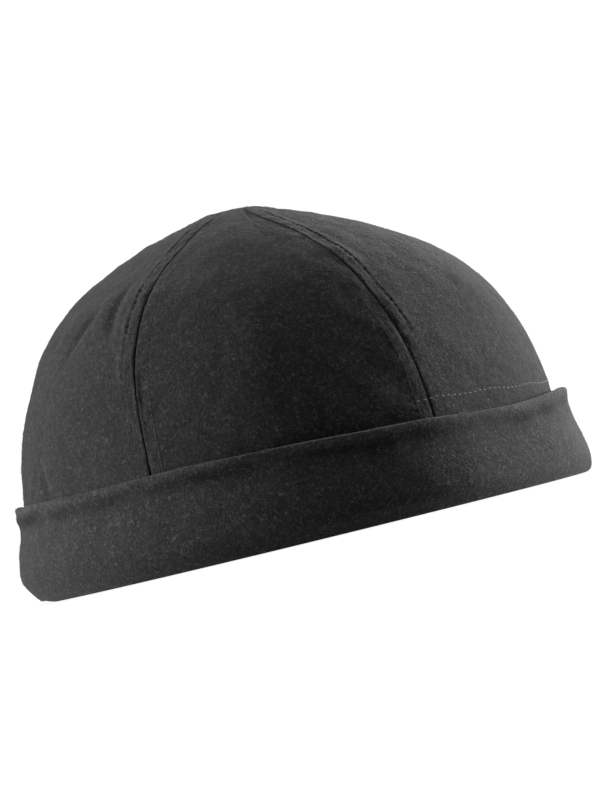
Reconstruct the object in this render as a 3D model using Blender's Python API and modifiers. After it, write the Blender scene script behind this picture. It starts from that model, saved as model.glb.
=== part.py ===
"""Six panel brimless felt cap with a turned-up cuff, resting on its cuff.

Metres, +Z up, +X toward the wearer's face, origin under the middle of the cap on the floor.
"""
import math
from bisect import bisect_left

import bmesh
import bpy
from mathutils import Vector

# Crown sizes, outside of the cloth
CROWN_LENGTH = 0.1982
CROWN_BREADTH = 0.172
CROWN_RISE = 0.1256
CLOTH = 0.0022
PANELS = 6
EGG_SHARE = 0.04

# Seams between the panels
SEAM_GAP = 0.0003
SEAM_ALLOWANCE = 0.0065
SEAM_SINK = 0.0009
ALLOWANCE_CLOTH = 0.0012
PANEL_PUFF = 0.0007
TIP_RADIUS = 0.0012

# Turned-up cuff
JOIN_HEIGHT = 0.014
JOIN_GAP = 0.0003
CUFF_HEIGHT = 0.034
CUFF_CLOTH = 0.0030
CUFF_CLEARANCE = 0.0003
CUFF_SPREAD = 0.0039

# Mesh density
PANEL_COLUMNS = 14
PANEL_ROWS = 17
CUFF_STATIONS = 60

# Level sections of the crown, rim to point. Height is a share of the way up from the join to the
# point, back and front of half the length, side of half the breadth. The back is the fuller end.
CROWN_ROWS = [
    # height, back, front, side
    (0.0000, 1.012, 1.013, 1.010),
    (0.2151, 0.998, 1.001, 1.000),
    (0.3943, 0.958, 0.958, 0.962),
    (0.5556, 0.880, 0.876, 0.888),
    (0.6989, 0.779, 0.740, 0.776),
    (0.8065, 0.644, 0.565, 0.630),
    (0.8781, 0.500, 0.408, 0.490),
    (0.9364, 0.348, 0.260, 0.335),
    (0.9767, 0.192, 0.151, 0.190),
    (0.9964, 0.066, 0.096, 0.060),
    (1.0000, -0.066, 0.066, 0.000),
]

# Cloth beside a seam. Away is a share of the seam allowance, rise of the seam's sink.
SEAM_ROWS = [
    # away, rise
    (0.00, -1.00),
    (0.16, -0.48),
    (0.45, -0.06),
    (1.00, 0.16),
    (1.32, -0.02),
]

# Soft dents of the felt, all in the crown. Turn is in degrees from the front. Up is a share of the
# way from rim to point, round of half the breadth, tall of the rise and depth of the cloth.
DENTS = [
    # turn, up, round, tall, depth
    (230.0, 0.48, 0.080, 0.20, 0.32),
    (214.0, 0.62, 0.070, 0.12, 0.22),
    (271.0, 0.90, 0.060, 0.07, 0.25),
    (35.0, 0.62, 0.140, 0.16, 0.25),
]

# Cuff height round the rim, as shares of the cuff height, from the front to the back.
CUFF_TOPS = [
    # turn, height
    (0.0, 0.955),
    (45.0, 0.885),
    (90.0, 0.975),
    (135.0, 1.010),
    (180.0, 1.055),
]

# Standing part of the cuff. Height is a share of the cuff height there, the others are the
# distance from the crown to the cuff's inner face as shares of the spread.
CUFF_ROWS = [
    # height, back, side, front
    (0.16, 0.41, 0.80, 1.09),
    (0.28, 0.82, 0.95, 1.06),
    (0.46, 0.62, 0.72, 0.80),
    (0.57, 0.41, 0.50, 0.56),
    (0.68, 0.08, 0.22, 0.38),
    (0.79, 0.00, 0.12, 0.31),
    (0.91, 0.00, 0.14, 0.33),
]

# Turned bottom edge, from its inner to its outer end. Height is a share of the cuff height, the
# others are the way out from the crown as shares of the turned width, cloth and spread together.
FOLD_ROWS = [
    # height, back, side, front
    (0.000, -0.20, -0.08, 0.10),
    (0.000, 0.06, 0.36, 0.70),
    (0.020, 0.18, 0.52, 0.90),
    (0.065, 0.36, 0.72, 1.04),
]

# Inner leg of the cuff. Height is a share of the join height, the others of the cloth.
LEG_ROWS = [
    # height, back, side, front
    (0.60, -1.08, -1.04, -1.00),
    (0.29, -1.36, -1.14, -0.98),
    (0.09, -1.12, -0.86, -0.45),
]

# Bottom of the hollow inside the fold. Height is in cloths, out a share of the belly's spread.
HOLLOW_ROWS = [
    # height, out
    (2.10, 0.76),
    (1.55, 0.48),
    (1.75, 0.16),
]

FELT_COLOUR = (0.036, 0.037, 0.039, 1.0)
CUFF_COLOUR = (0.040, 0.041, 0.043, 1.0)


def clear_scene():
    """Remove every object of the open scene."""
    for old in list(bpy.data.objects):
        bpy.data.objects.remove(old, do_unlink=True)


def make_collection(name):
    """Return a new collection linked to the scene."""
    collection = bpy.data.collections.new(name)
    bpy.context.scene.collection.children.link(collection)
    return collection


def felt_material(name, colour):
    """Return a rough dark felt."""
    material = bpy.data.materials.new(name)
    material.use_nodes = True
    principled = material.node_tree.nodes["Principled BSDF"]
    principled.inputs["Base Color"].default_value = colour
    principled.inputs["Roughness"].default_value = 0.95
    principled.inputs["Metallic"].default_value = 0.0
    material.diffuse_color = colour
    return material


def row_knots(rows):
    """Return the share of the way along the rows at which each row lies."""
    knots = [0.0]
    for before, after in zip(rows, rows[1:]):
        step_up = (after[0] - before[0]) * (CROWN_RISE - JOIN_HEIGHT)
        step_out = (after[2] - before[2]) * CROWN_LENGTH / 2
        knots.append(knots[-1] + math.hypot(step_up, step_out))
    return [knot / knots[-1] for knot in knots]


CROWN_KNOTS = row_knots(CROWN_ROWS)


def crown_row(up):
    """Return the crown's section at a share of the way from rim to point."""
    last = len(CROWN_ROWS) - 1
    index = min(max(bisect_left(CROWN_KNOTS, up) - 1, 0), last - 1)
    span = CROWN_KNOTS[index + 1] - CROWN_KNOTS[index]
    share = (up - CROWN_KNOTS[index]) / span

    def slope(row, column):
        before = max(row - 1, 0)
        after = min(row + 1, last)
        rise = CROWN_ROWS[after][column] - CROWN_ROWS[before][column]
        return rise / (CROWN_KNOTS[after] - CROWN_KNOTS[before])

    section = []
    for column in range(4):
        here = CROWN_ROWS[index][column]
        there = CROWN_ROWS[index + 1][column]
        ease = share * share * (3 - 2 * share)
        value = here + (there - here) * ease
        value += slope(index, column) * span * share * (1 - share) ** 2
        value -= slope(index + 1, column) * span * share * share * (1 - share)
        section.append(value)
    return section


def crown_height(up):
    """Return the height above the floor at a share of the way from rim to point."""
    return JOIN_HEIGHT + crown_row(up)[0] * (CROWN_RISE - JOIN_HEIGHT)


def crown_point(turn, up):
    """Return a point of the crown's plain outer form, before seams, puff and dents."""
    _, back, front, side = crown_row(up)
    middle = (front - back) / 2 * CROWN_LENGTH / 2
    reach = (front + back) / 2 * CROWN_LENGTH / 2
    width = side * CROWN_BREADTH / 2 * (1 - EGG_SHARE * math.cos(turn))
    return Vector((middle + reach * math.cos(turn), width * math.sin(turn), crown_height(up)))


def crown_normal(turn, up):
    """Return the outward direction of the plain form."""
    low, high = max(up - 0.004, 0.0), min(up + 0.004, 0.999)
    along = crown_point(turn, high) - crown_point(turn, low)
    around = crown_point(turn + 0.01, up) - crown_point(turn - 0.01, up)
    return around.cross(along).normalized()


def arc_table(up, start, end, steps=36):
    """Return the turns between two seams and the distance to each along the cloth."""
    turns = [start + (end - start) * step / steps for step in range(steps + 1)]
    points = [crown_point(turn, up) for turn in turns]
    lengths = [0.0]
    for before, after in zip(points, points[1:]):
        lengths.append(lengths[-1] + (after - before).length)
    return turns, lengths


def read_table(inputs, outputs, value):
    """Return the output that goes with a value, read straight between the entries."""
    index = min(max(bisect_left(inputs, value), 1), len(inputs) - 1)
    span = inputs[index] - inputs[index - 1]
    share = (value - inputs[index - 1]) / span
    return outputs[index - 1] + (outputs[index] - outputs[index - 1]) * share


def seam_turns():
    """Return the turn of each seam, an equal way apart along the rim, the first at the front."""
    turns, lengths = arc_table(0.1, 0.0, 2 * math.pi, 360)
    return [read_table(lengths, turns, lengths[-1] * seam / PANELS) for seam in range(PANELS + 1)]


def narrowing(width):
    """Return 1 where a panel has room for whole seams, and less as it runs to its tip."""
    return min(1.0, width / (4 * SEAM_ALLOWANCE))


def panel_columns(width):
    """Return distance from the first seam and rise for each column of a panel this wide."""
    half = width / 2
    narrow = narrowing(width)
    columns = []
    for away, rise in SEAM_ROWS:
        distance = SEAM_GAP / 2 + away * SEAM_ALLOWANCE * narrow
        columns.append((distance, rise * SEAM_SINK * math.sqrt(narrow)))
    inner = PANEL_COLUMNS // 2 - len(SEAM_ROWS) + 1
    first = columns[-1][0]
    for step in range(1, inner + 1):
        share = step / inner
        puff = PANEL_PUFF * math.sin(share * math.pi / 2) * narrow
        columns.append((first + (half - first) * share, puff))
    mirrored = [(width - distance, rise) for distance, rise in reversed(columns[:-1])]
    return columns + mirrored


def dent_depth(turn, up):
    """Return how far the dents push the cloth in at a place on the crown."""
    here = crown_point(turn, up)
    depth = 0.0
    for dent_turn, dent_up, around, tall, sink in DENTS:
        centre = crown_point(math.radians(dent_turn), dent_up)
        level = math.hypot(here.x - centre.x, here.y - centre.y) / (around * CROWN_BREADTH / 2)
        rise = (here.z - centre.z) / (tall * CROWN_RISE)
        depth += sink * CLOTH * math.exp(-level * level - rise * rise)
    return depth


def add_panel(number, start, end, collection):
    """Add one gore of the crown as an open sheet of felt with its thickness inward."""
    up_end = 1.0 - TIP_RADIUS / (CROWN_LENGTH * 0.86)
    mesh = bpy.data.meshes.new(f"crown_panel_{number}")
    grid = bmesh.new()
    bmesh.ops.create_grid(grid, x_segments=PANEL_COLUMNS, y_segments=PANEL_ROWS, size=1.0)
    tables = {}
    hems = []
    for vertex in grid.verts:
        column = round((vertex.co.x + 1) / 2 * PANEL_COLUMNS)
        row = round((vertex.co.y + 1) / 2 * PANEL_ROWS)
        up = up_end * row / PANEL_ROWS
        if row not in tables:
            tables[row] = arc_table(up, start, end)
        turns, lengths = tables[row]
        distance, rise = panel_columns(lengths[-1])[column]
        turn = read_table(lengths, turns, distance)
        normal = crown_normal(turn, up)
        vertex.co = crown_point(turn, up) + normal * (rise - dent_depth(turn, up))
        from_edge = min(column, PANEL_COLUMNS - column)
        hem = narrowing(lengths[-1]) if from_edge < len(SEAM_ROWS) - 1 else 0.0
        hems.append((vertex.index, hem))
    grid.to_mesh(mesh)
    grid.free()
    panel = bpy.data.objects.new(f"crown_panel_{number}", mesh)
    collection.objects.link(panel)
    full = CLOTH + ALLOWANCE_CLOTH
    group = panel.vertex_groups.new(name="seam_allowance")
    for index, hem in hems:
        group.add([index], (CLOTH + hem * ALLOWANCE_CLOTH) / full, "REPLACE")
    cloth = panel.modifiers.new("cloth", "SOLIDIFY")
    cloth.thickness = full
    cloth.offset = -1.0
    cloth.vertex_group = group.name
    panel.data.materials.append(felt_material(f"panel_{number}_felt", FELT_COLOUR))
    return panel


def blend(row, turn):
    """Return a row's back, side and front columns mixed for one direction."""
    back, side, front = row
    toward = math.cos(turn) ** 2
    end = front if math.cos(turn) > 0 else back
    return side + (end - side) * toward


def cuff_top(turn):
    """Return the height of the cuff's lip in one direction."""
    degrees = abs((math.degrees(turn) + 180) % 360 - 180)
    shares = [share for _, share in CUFF_TOPS]
    place = degrees / 45.0
    index = min(int(place), len(shares) - 2)
    ease = (1 - math.cos((place - index) * math.pi)) / 2
    return CUFF_HEIGHT * (shares[index] + (shares[index + 1] - shares[index]) * ease)


def crown_at_height(turn, height):
    """Return the crown's outer point at a height above the floor, in one direction."""
    low, high = 0.0, 0.8
    for _ in range(24):
        middle = (low + high) / 2
        if crown_height(middle) < height:
            low = middle
        else:
            high = middle
    point = crown_point(turn, low)
    point.z = height
    return point


def crown_swell(turn):
    """Return how far the puffed panels stand out of the plain form in one direction."""
    hem_rise = max(rise for _, rise in SEAM_ROWS) * SEAM_SINK
    return hem_rise + PANEL_PUFF * abs(math.sin(turn * PANELS / 2))


def cuff_section(turn):
    """Return the closed section of the cuff in one direction, as points in space."""
    around = crown_point(turn + 0.01, 0.0) - crown_point(turn - 0.01, 0.0)
    outward = around.cross(Vector((0, 0, 1))).normalized()
    top = cuff_top(turn)
    turned = CUFF_CLOTH + CUFF_SPREAD
    clear = CUFF_CLEARANCE + crown_swell(turn)
    base = JOIN_HEIGHT - JOIN_GAP

    def at(out, height):
        return crown_at_height(turn, max(height, JOIN_HEIGHT)) + outward * out + Vector(
            (0, 0, height - max(height, JOIN_HEIGHT)))

    points = [at(-CLOTH, base)]
    for height, *row in LEG_ROWS:
        points.append(at(blend(row, turn) * CLOTH, height * JOIN_HEIGHT))
    for height, *row in FOLD_ROWS:
        points.append(at(blend(row, turn) * turned, height * top))
    faces = [(height * top, blend(row, turn) * CUFF_SPREAD) for height, *row in CUFF_ROWS]
    for height, spread in faces:
        points.append(at(clear + spread + CUFF_CLOTH, height))
    lip_radius = CUFF_CLOTH / 2
    lip_spread = clear + faces[-1][1] + lip_radius
    for step in range(1, 6):
        angle = math.pi * step / 6
        height = top - lip_radius + lip_radius * math.sin(angle)
        points.append(at(lip_spread + lip_radius * math.cos(angle), height))
    for height, spread in reversed(faces[1:]):
        points.append(at(clear + spread, height))
    belly = clear + faces[1][1]
    for height, share in HOLLOW_ROWS:
        points.append(at(belly * share, height * CLOTH))
    points.append(at(0.0, base * 0.55))
    points.append(at(0.0, base))
    return points


def add_cuff(collection):
    """Add the turned-up cuff, lofted through sections that change round the rim."""
    mesh = bpy.data.meshes.new("cuff")
    loft = bmesh.new()
    rings = []
    for station in range(CUFF_STATIONS):
        section = cuff_section(2 * math.pi * station / CUFF_STATIONS)
        rings.append([loft.verts.new(point) for point in section])
    for ring, following in zip(rings, rings[1:] + rings[:1]):
        for index in range(len(ring)):
            after = (index + 1) % len(ring)
            loft.faces.new((ring[index], ring[after], following[after], following[index]))
    bmesh.ops.recalc_face_normals(loft, faces=loft.faces)
    loft.to_mesh(mesh)
    loft.free()
    cuff = bpy.data.objects.new("cuff", mesh)
    collection.objects.link(cuff)
    cuff.data.materials.append(felt_material("cuff_felt", CUFF_COLOUR))
    return cuff


def centre_on_origin(pieces, cuff):
    """Move the cap so that the middle of its cuff's length and breadth is over the origin."""
    for axis in (0, 1):
        places = [vertex.co[axis] for vertex in cuff.data.vertices]
        middle = (min(places) + max(places)) / 2
        for piece in pieces:
            piece.location[axis] = -middle


def build_cap():
    """Build the whole cap."""
    clear_scene()
    collection = make_collection("fisherman_beanie")
    turns = seam_turns()
    pieces = []
    for number in range(PANELS):
        pieces.append(add_panel(number + 1, turns[number], turns[number + 1], collection))
    cuff = add_cuff(collection)
    pieces.append(cuff)
    centre_on_origin(pieces, cuff)


build_cap()
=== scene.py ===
"""Looks of a six panel felt cap with a turned-up cuff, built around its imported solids.

Metres, +Z up, +X toward the wearer's face, origin on the floor under the middle of the cap.
"""
import logging
import math
from dataclasses import dataclass, field
from enum import Enum

import bpy
import numpy as np
from mathutils import Matrix, Vector


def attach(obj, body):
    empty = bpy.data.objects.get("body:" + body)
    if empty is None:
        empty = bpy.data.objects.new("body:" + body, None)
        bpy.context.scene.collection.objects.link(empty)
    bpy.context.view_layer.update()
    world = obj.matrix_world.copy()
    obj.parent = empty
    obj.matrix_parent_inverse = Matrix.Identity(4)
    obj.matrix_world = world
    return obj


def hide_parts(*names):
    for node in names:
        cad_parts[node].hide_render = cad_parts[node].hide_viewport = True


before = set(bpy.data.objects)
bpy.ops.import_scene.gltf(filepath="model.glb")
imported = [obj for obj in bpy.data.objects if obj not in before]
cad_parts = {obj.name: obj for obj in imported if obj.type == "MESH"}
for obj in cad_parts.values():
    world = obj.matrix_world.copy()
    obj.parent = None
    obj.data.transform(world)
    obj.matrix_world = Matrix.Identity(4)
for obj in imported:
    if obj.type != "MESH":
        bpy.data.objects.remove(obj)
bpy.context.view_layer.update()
WHITE = (1.0, 1.0, 1.0, 1.0)

LOG = logging.getLogger("felt_cap")
Array = np.ndarray
Material, Piece = bpy.types.Material, bpy.types.Object
Tree, Socket = bpy.types.NodeTree, bpy.types.NodeSocket
Span, Triple = tuple[float, float], tuple[float, float, float]


class SeamSide(Enum):
    """Side of a seam on which a row of stitches runs, toward smaller or larger turns."""

    BEFORE = -1
    AFTER = 1


def smooth_step(low: float, high: float, value: Array) -> Array:
    """Ease from 0 to 1 between two limits.

    Args:
        low: Value at which the result is 0.
        high: Value at which the result is 1.
        value: Values to ease.

    Returns:
        The eased shares.
    """
    share = np.clip((value - low) / (high - low), 0.0, 1.0)
    return share * share * (3.0 - 2.0 * share)


def unit(vectors: Array) -> Array:
    """Return the vectors at length one."""
    return vectors / np.maximum(np.linalg.norm(vectors, axis=-1, keepdims=True), 1e-12)


def hump(value: Array, middle: float, width: float) -> Array:
    """Return a soft hump that is 1 at its middle and falls off over its width."""
    return np.exp(-(((value - middle) / width) ** 2))


def from_back(turns: Array) -> Array:
    """Return how many degrees each direction lies from the back of the cap."""
    return np.abs(np.degrees(turns) - 180.0)


def cloth_ways(points: Array) -> Array:
    """Return the distance along a line of points from its first point to each."""
    return np.concatenate([[0.0], np.cumsum(np.linalg.norm(np.diff(points, axis=0), axis=1))])


def softened(values: Array, reach: int, ends: str) -> Array:
    """Round off the corners of evenly spaced values.

    Args:
        values: The values.
        reach: How many neighbours on each side count.
        ends: How the values go on past their ends, in numpy's words.

    Returns:
        As many values.
    """
    window = np.hanning(2 * reach + 1)
    return np.convolve(np.pad(values, reach, mode=ends), window / window.sum(), "valid")


def add_mesh(name: str, points: Array, faces: list, material: Material,
             tone: Array = None) -> Piece:
    """Make a smooth shaded mesh object and link it to the scene.

    Args:
        name: Name of the piece.
        points: One row of x, y and z for each vertex.
        faces: Arrays of vertex numbers, one array for each count of corners.
        material: Finish of every face.
        tone: How much the felt's colour is scaled at each vertex, painted shade below 1 and painted
            highlight above, 1 where it is plain.

    Returns:
        The new object.
    """
    mesh = bpy.data.meshes.new(name)
    corners = [face for group in faces for face in group.tolist()]
    mesh.from_pydata(points.tolist(), [], corners)
    mesh.polygons.foreach_set("use_smooth", [True] * len(mesh.polygons))
    mesh.materials.append(material)
    if tone is not None:
        shade = mesh.attributes.new("painted_light_tone", "FLOAT", "POINT")
        shade.data.foreach_set("value", np.asarray(tone, dtype=np.float32).ravel())
    mesh.update()
    piece = bpy.data.objects.new(name, mesh)
    bpy.context.scene.collection.objects.link(piece)
    return piece


def grid_faces(rows: int, columns: int, first: int = 0, flip: bool = False) -> Array:
    """Return the quads of a grid of points.

    Args:
        rows: Number of rows of points.
        columns: Number of points in a row.
        first: Number of the grid's first point.
        flip: True to turn the faces over.

    Returns:
        Four vertex numbers for each quad.
    """
    row, column = np.meshgrid(np.arange(rows - 1), np.arange(columns - 1), indexing="ij")
    corner = (first + row * columns + column).ravel()
    quads = np.stack([corner, corner + 1, corner + columns + 1, corner + columns], axis=1)
    return quads[:, ::-1] if flip else quads


def tube_points(middles: Array, across: Array, upward: Array, girths: Array, sides: int) -> Array:
    """Lay a ring of points round each place of some lines.

    Args:
        middles: Places of each line, lines by places by three.
        across: Direction to one side of each line.
        upward: Direction away from the cloth at each line, shorter where the tube is flat.
        girths: Radius at each place, the same for every line.
        sides: Number of points in a ring.

    Returns:
        The points, lines by places by sides by three.
    """
    angles = (np.arange(sides) * 2 * np.pi / sides)[:, None]
    ring = across[:, None, None, :] * np.cos(angles) + upward[:, None, None, :] * np.sin(angles)
    return middles[:, :, None, :] + ring * girths[:, None, None]


def tube_faces(tubes: int, rings: int, sides: int) -> Array:
    """Return the quads of thin open tubes.

    Args:
        tubes: Number of tubes.
        rings: Number of rings in a tube.
        sides: Number of points in a ring.

    Returns:
        Four vertex numbers for each quad.
    """
    start = np.arange(tubes)[:, None, None] * rings * sides
    row = start + np.arange(rings - 1)[None, :, None] * sides
    side = np.arange(sides)[None, None, :]
    after = (side + 1) % sides
    quads = [row + side, row + after, row + sides + after, row + sides + side]
    return np.stack(quads, axis=-1).reshape(-1, 4)


@dataclass(frozen=True)
class SoftNoise:
    """Smooth unevenness in space, a sum of seeded waves with a spread of about one."""

    seed: int
    wave: float
    count: int = 26

    def at(self, points: Array) -> Array:
        """Return the noise at each point.

        Args:
            points: Places in metres.

        Returns:
            One value for each place.
        """
        source = np.random.default_rng(self.seed)
        ways = unit(source.normal(size=(self.count, 3)))
        lengths = self.wave * source.uniform(0.6, 1.7, self.count)
        phases = source.uniform(0.0, 2 * np.pi, self.count)
        angles = points @ (ways / lengths[:, None] * 2 * np.pi).T + phases
        return np.cos(angles).sum(axis=-1) * math.sqrt(2.0 / self.count)


@dataclass(frozen=True)
class Waves:
    """Soft waves of several sizes, a row of height, seed and length for each."""

    rows: tuple

    def at(self, points: Array) -> Array:
        """Return the sum of the waves at each point."""
        return sum(height * SoftNoise(seed, wave).at(points) for height, seed, wave in self.rows)


@dataclass(frozen=True)
class CrownForm:
    """Plain outer form of the crown, before its seams, puff and folds."""

    length: float = 0.1982
    breadth: float = 0.172
    rise: float = 0.1256
    join_height: float = 0.014
    egg_share: float = 0.04
    middle_x: float = -0.000576
    panels: int = 6
    # share of the way up at which the lengths of the seams are measured
    usual_up: float = 0.3
    # height, back, front, side of each level section, from the join to the point
    rows: tuple = (
        (0.0000, 1.012, 1.013, 1.010),
        (0.2151, 0.998, 1.001, 1.000),
        (0.3943, 0.958, 0.958, 0.962),
        (0.5556, 0.880, 0.876, 0.888),
        (0.6989, 0.779, 0.740, 0.776),
        (0.8065, 0.644, 0.565, 0.630),
        (0.8781, 0.500, 0.408, 0.490),
        (0.9364, 0.348, 0.260, 0.335),
        (0.9767, 0.192, 0.151, 0.190),
        (0.9964, 0.066, 0.096, 0.060),
        (1.0000, -0.066, 0.066, 0.000),
    )

    def _sections(self, up: Array) -> Array:
        """Return height, back, front and side shares at shares of the way from rim to point.

        Args:
            up: Shares of the way up.

        Returns:
            The four shares of each, in the last axis.
        """
        rows = np.array(self.rows)
        steps = np.hypot(
            np.diff(rows[:, 0]) * (self.rise - self.join_height),
            np.diff(rows[:, 2]) * self.length / 2,
        )
        knots = np.concatenate([[0.0], np.cumsum(steps)]) / steps.sum()
        last = len(rows) - 1
        before = np.maximum(np.arange(last + 1) - 1, 0)
        after = np.minimum(np.arange(last + 1) + 1, last)
        slopes = (rows[after] - rows[before]) / (knots[after] - knots[before])[:, None]
        index = np.clip(np.searchsorted(knots, up) - 1, 0, last - 1)
        span = (knots[index + 1] - knots[index])[..., None]
        share = (up - knots[index])[..., None] / span
        ease = share * share * (3 - 2 * share)
        value = rows[index] + (rows[index + 1] - rows[index]) * ease
        value = value + slopes[index] * span * share * (1 - share) ** 2
        return value - slopes[index + 1] * span * share * share * (1 - share)

    def place(self, turn: Array, up: Array) -> Array:
        """Return points of the form.

        Args:
            turn: Directions in radians, from the front toward the wearer's left.
            up: Shares of the way up.

        Returns:
            One point for each pair, after broadcasting.
        """
        turn, up = np.broadcast_arrays(np.asarray(turn, float), np.asarray(up, float))
        section = self._sections(up)
        height, back, front, side = np.moveaxis(section, -1, 0)
        middle = self.middle_x + (front - back) / 2 * self.length / 2
        reach = (front + back) / 2 * self.length / 2
        width = side * self.breadth / 2 * (1 - self.egg_share * np.cos(turn))
        level = self.join_height + height * (self.rise - self.join_height)
        return np.stack([middle + reach * np.cos(turn), width * np.sin(turn), level], axis=-1)

    def outward(self, turn: Array, up: Array) -> Array:
        """Return the outward direction of the form at each place.

        Args:
            turn: Directions in radians.
            up: Shares of the way up.

        Returns:
            One unit vector for each place.
        """
        up = np.asarray(up, float)
        low, high = np.clip(up - 0.004, 0.0, 0.99), np.clip(up + 0.004, 0.008, 0.998)
        along = self.place(turn, high) - self.place(turn, low)
        around = self.place(turn + 0.01, up) - self.place(turn - 0.01, up)
        return unit(np.cross(around, along))

    def up_at_height(self, height: Array) -> Array:
        """Return the share of the way up at which the form reaches a height."""
        ups = np.linspace(0.0, 0.8, 200)
        return np.interp(height, self.place(0.0 * ups, ups)[:, 2], ups)

    def way_up(self, turn: float, ups: Array) -> Array:
        """Return the distance along the cloth from the rim up to each share of the way."""
        fine = np.linspace(0.0, 1.0, 500)
        return np.interp(ups, fine, cloth_ways(self.place(turn + 0 * fine, fine)))


@dataclass(frozen=True)
class Seam:
    """One seam of the crown, from the rim to the point."""

    # share of the way up and turn in degrees of places that the seam passes
    run: tuple
    # how clear the stitch rows on its two sides are, from 0 to 1
    row_before: float = 0.6
    row_after: float = 0.6
    # how far the crown stands out along the seam, where the stiff gores meet at an angle
    ridge: float = 0.0
    # shares of the way up between which the rows grow clear, and between which they end
    clear_from: Span = (0.27, 0.40)
    clear_to: Span = (0.86, 0.95)
    least_clear: float = 0.22

    def turn_at(self, ups: Array) -> Array:
        """Return the seam's turn in radians at each share of the way up.

        Args:
            ups: Shares of the way up.

        Returns:
            The turns.
        """
        places, turns = np.array(self.run).T
        fine = np.linspace(0.0, 1.0, 201)
        soft = softened(np.interp(fine, places, turns), 11, "edge")
        return np.radians(np.interp(ups, fine, soft))

    def mirrored(self) -> "Seam":
        """Return the same seam on the other side of the cap."""
        run = tuple((place, 360.0 - turn) for place, turn in self.run)
        return Seam(run, self.row_after, self.row_before, self.ridge)

    def row_strength(self, side: SeamSide, ups: Array) -> Array:
        """Return how clear one of its stitch rows is, less near the rim and at the point.

        Args:
            side: Side of the seam on which the row runs.
            ups: Shares of the way up.

        Returns:
            Shares from 0 to 1.
        """
        strength = self.row_before if side is SeamSide.BEFORE else self.row_after
        clear = smooth_step(*self.clear_from, ups) * (1 - smooth_step(*self.clear_to, ups))
        return strength * (self.least_clear + (1 - self.least_clear) * clear)


@dataclass(frozen=True)
class Fold:
    """One soft fold or hollow of the crown's felt between two places."""

    first_turn: float
    first_up: float
    last_turn: float
    last_up: float
    width: float
    height: float

    def lift(self, form: CrownForm, points: Array) -> Array:
        """Return how far the fold lifts the cloth at each point.

        Args:
            form: The plain form that the fold lies on.
            points: Places in metres.

        Returns:
            The lift at each place.
        """
        first = form.place(math.radians(self.first_turn), self.first_up)
        last = form.place(math.radians(self.last_turn), self.last_up)
        line = last - first
        share = np.clip((points - first) @ line / (line @ line), 0.0, 1.0)
        away = np.linalg.norm(points - (first + share[..., None] * line), axis=-1)
        fade = 0.35 + 0.65 * np.sin(share * np.pi)
        return self.height * fade * hump(away, 0.0, self.width)


@dataclass(frozen=True)
class Tailoring:
    """How the panels are sewn together, and how the felt lies beside the seams."""

    allowance: float = 0.0064
    roll: float = 0.0010
    # how much of the groove is lost toward the point, and where
    groove_loss: float = 0.55
    groove_fade: Span = (0.42, 0.72)
    sink: float = 0.0007
    band: float = 0.00030
    band_edge: float = 0.00006
    edge_width: float = 0.0009
    faint: float = 0.12
    row_offset: float = 0.0047
    row_width: float = 0.00060
    row_depth: float = 0.00030
    stitch: float = 0.0025
    pucker: float = 0.00016
    pucker_pitch: float = 0.0084
    sewn_width: float = 0.0026
    puff: float = 0.0004
    settle: float = 0.00025
    wobble: float = 0.00022
    dimple: float = 0.0007
    dimple_width: float = 0.0042
    least: float = 0.02
    slow: SoftNoise = SoftNoise(11, 0.022)
    quick: SoftNoise = SoftNoise(12, 0.009)

    def groove(self, ups: Array) -> Array:
        """Return how deep the seams' grooves are, less toward the point."""
        return 1.0 - self.groove_loss * smooth_step(*self.groove_fade, ups)

    def narrowing(self, width: Array) -> Array:
        """Return 1 where a panel has room for whole seams, and less toward its tip."""
        return np.clip(width / (4 * self.allowance), 0.0, 1.0)

    def relief(self, near: Array, width: Array, along: Array, points: Array, row: Array,
               groove: Array) -> Array:
        """Return how far the felt stands out of the plain form beside a seam.

        Args:
            near: Distance to the nearest seam.
            width: Width of the panel there.
            along: Way up the nearest seam from the rim.
            points: Places on the plain form.
            row: How clear the nearest row of stitches is, from 0 to 1.
            groove: How deep the seam's groove is, from 0 to 1.

        Returns:
            The lift at each place.
        """
        narrow = self.narrowing(width)
        full = np.sqrt(narrow)
        away = near / np.maximum(narrow, self.least)
        slow, quick = self.slow.at(points), self.quick.at(points)
        into = np.clip((self.roll - away) / self.roll, 0.0, 1.0)
        lift = -self.sink * groove * full * (1.0 - np.sqrt(1.0 - into * into * 0.999))
        top = 1.0 - smooth_step(0.62 * self.allowance, 1.38 * self.allowance, away)
        clear = self.faint + (1.0 - self.faint) * row
        lift = lift + self.band * full * top * clear * (1.0 + 0.35 * slow)
        edge = hump(away, 0.92 * self.allowance, self.edge_width)
        lift = lift + self.band_edge * full * edge * clear * (1.0 + 0.5 * quick)
        channel = hump(away, self.row_offset, self.row_width)
        holes = 1.0 + 0.75 * np.cos(2 * np.pi * along / self.stitch)
        lift = lift - self.row_depth * full * channel * holes * row * (1.0 + 0.30 * quick)
        sewn = hump(away, self.sewn_width, self.sewn_width)
        wave = np.cos(2 * np.pi * along / self.pucker_pitch + 1.8 * slow) + 0.5 * quick
        lift = lift + self.pucker * full * sewn * wave * (0.5 + 0.5 * row)
        half = np.maximum(width / 2, 1e-6)
        inner = np.clip((near - 1.3 * self.allowance * narrow) / half, 0.0, 1.0)
        return lift - self.settle + self.puff * narrow * np.sin(inner * np.pi / 2 / 0.83)


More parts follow.
